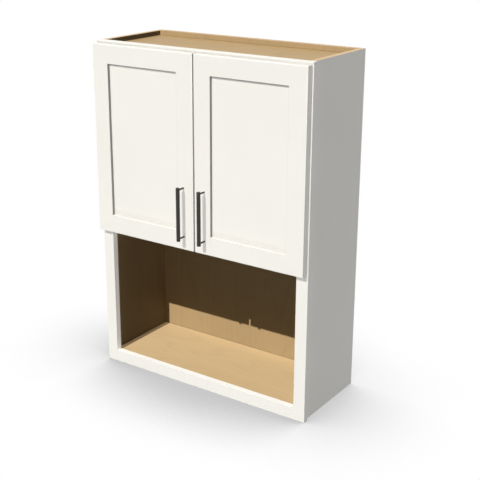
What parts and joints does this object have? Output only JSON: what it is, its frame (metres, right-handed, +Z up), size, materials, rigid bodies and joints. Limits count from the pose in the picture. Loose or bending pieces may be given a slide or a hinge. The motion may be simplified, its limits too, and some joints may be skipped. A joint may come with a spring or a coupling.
{
  "type": "wall cabinet",
  "caption": "Face-frame kitchen wall cabinet: an open niche under a pair of hinged shaker doors with straight bar handles, with an adjustable shelf behind the doors.",
  "frame": {"origin": "middle of the lower edge of the plane at the cabinet's back, which lies against the wall", "axes": "+X to the right seen from the front, +Y into the wall, +Z up; the doors face -Y"},
  "size_m": [0.762, 0.3626, 1.0668],
  "materials": {
    "white_paint": "off-white satin paint on hardwood and plywood",
    "maple_plywood": "clear-coated maple plywood",
    "dowel_wood": "plain beech dowel",
    "dark_handle": "satin dark grey, almost black",
    "hinge_steel": "nickel-plated steel",
    "bumper_rubber": "clear soft bumper"
  },
  "bodies": {
    "case": {"left_side_panel": "white_paint", "right_side_panel": "white_paint", "bottom_panel": "maple_plywood", "fixed_shelf": "maple_plywood", "top_panel": "maple_plywood", "back_panel": "maple_plywood", "upper_hanging_rail": "maple_plywood", "lower_hanging_rail": "maple_plywood", "adjustable_shelf": "maple_plywood", "shelf_pins": "hinge_steel", "left_frame_stile": "white_paint", "right_frame_stile": "white_paint", "bottom_frame_rail": "white_paint", "middle_frame_rail": "white_paint", "top_frame_rail": "white_paint", "frame_dowels": "dowel_wood", "left_lower_hinge_arm": "hinge_steel", "left_upper_hinge_arm": "hinge_steel", "right_lower_hinge_arm": "hinge_steel", "right_upper_hinge_arm": "hinge_steel", "left_hinge_arm_screws": "hinge_steel", "right_hinge_arm_screws": "hinge_steel"},
    "left_door": {"left_door_hinge_stile": "white_paint", "left_door_meeting_stile": "white_paint", "left_door_top_rail": "white_paint", "left_door_bottom_rail": "white_paint", "left_door_panel": "white_paint", "left_lower_hinge_cup": "hinge_steel", "left_upper_hinge_cup": "hinge_steel", "left_hinge_pins": "hinge_steel", "left_hinge_springs": "hinge_steel", "left_hinge_cup_screws": "hinge_steel", "left_handle_bar": "dark_handle", "left_handle_posts": "dark_handle", "left_handle_screws": "hinge_steel", "left_door_bumpers": "bumper_rubber"},
    "right_door": {"right_door_hinge_stile": "white_paint", "right_door_meeting_stile": "white_paint", "right_door_top_rail": "white_paint", "right_door_bottom_rail": "white_paint", "right_door_panel": "white_paint", "right_lower_hinge_cup": "hinge_steel", "right_upper_hinge_cup": "hinge_steel", "right_hinge_pins": "hinge_steel", "right_hinge_springs": "hinge_steel", "right_hinge_cup_screws": "hinge_steel", "right_handle_bar": "dark_handle", "right_handle_posts": "dark_handle", "right_handle_screws": "hinge_steel", "right_door_bumpers": "bumper_rubber"}
  },
  "joints": [
    {"name": "left_door_hinge", "type": "hinge", "parent": "case", "child": "left_door", "pos_m": [-0.3698, -0.317, 0.7622], "axis": [0, 0, -1], "range_deg": [0, 105]},
    {"name": "right_door_hinge", "type": "hinge", "parent": "case", "child": "right_door", "pos_m": [0.3698, -0.317, 0.7622], "axis": [0, 0, 1], "range_deg": [0, 105]}
  ]
}
